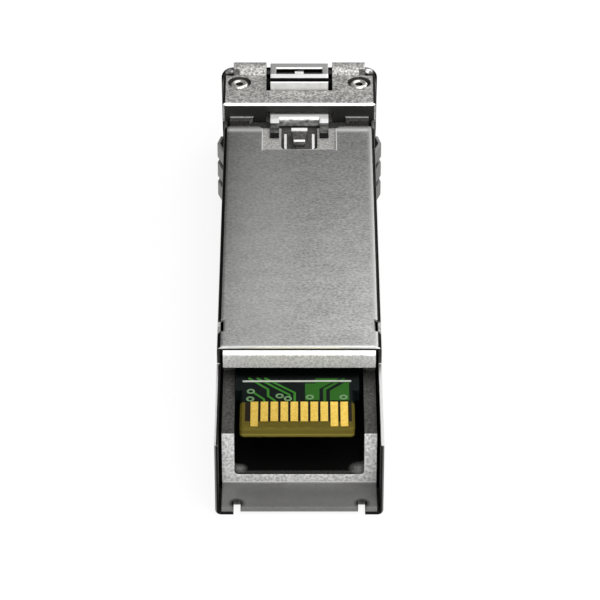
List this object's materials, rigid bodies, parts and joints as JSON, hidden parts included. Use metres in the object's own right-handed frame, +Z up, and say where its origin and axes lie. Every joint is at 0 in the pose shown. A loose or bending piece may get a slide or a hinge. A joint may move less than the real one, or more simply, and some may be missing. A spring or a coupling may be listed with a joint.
{
  "type": "sfp transceiver",
  "caption": "Slim pluggable optical transceiver in a folded metal sleeve, with a card-edge contact tongue, duplex optical ports in a cast nose and a wire bail that works a latch slide.",
  "frame": {"origin": "on the underside, below the middle of the module's length and width", "axes": "+X across the module, +Y from the card-edge end to the nose, +Z up towards the latch side"},
  "size_m": [0.0146, 0.0564, 0.0103],
  "materials": {
    "cast_zinc": "plated zinc die casting with a fine speckle",
    "cover_steel": "brushed sheet, nickel plated",
    "actuator_steel": "satin stamping",
    "wire_steel": "drawn wire, bright",
    "cam_steel": "satin",
    "screw_steel": "turned, bright rim",
    "board": "green solder mask on glass fibre",
    "gold": "hard gold plate",
    "chip": "moulded epoxy",
    "capacitor": "fired ceramic",
    "pad": "soft filled silicone",
    "can": "plated can",
    "barrel": "turned",
    "sleeve": "ground zirconia",
    "flex": "amber film",
    "clamp": "stamped plate"
  },
  "bodies": {
    "module": {"tray_housing": "cast_zinc", "latch_housing": "cast_zinc", "sheet_cover": "cover_steel", "nose_screws": "screw_steel", "circuit_board": "board", "upper_contacts": "gold", "lower_contacts": "gold", "driver_chip": "chip", "amplifier_chip": "chip", "memory_chip": "chip", "board_capacitors": "capacitor", "thermal_pad": "pad", "transmitter_can": "can", "receiver_can": "can", "transmitter_barrel": "barrel", "receiver_barrel": "barrel", "transmitter_sleeve": "sleeve", "receiver_sleeve": "sleeve", "transmitter_flex": "flex", "receiver_flex": "flex", "optics_clamp": "clamp"},
    "bail": {"bail_wire": "wire_steel", "bail_cam": "cam_steel"},
    "actuator": {"latch_actuator": "actuator_steel"}
  },
  "joints": [
    {"name": "bail_hinge", "type": "hinge", "parent": "module", "child": "bail", "pos_m": [0, 0.02525, 0.0092], "axis": [1, 0, 0], "range_deg": [0, 90]},
    {"name": "actuator_slide", "type": "slide", "parent": "module", "child": "actuator", "axis": [0, 1, 0], "range_m": [0, 0.00156]}
  ],
  "couplings": [
    {"joint": "bail_hinge", "follows": "actuator_slide", "rad_per_m": 1009.4}
  ]
}
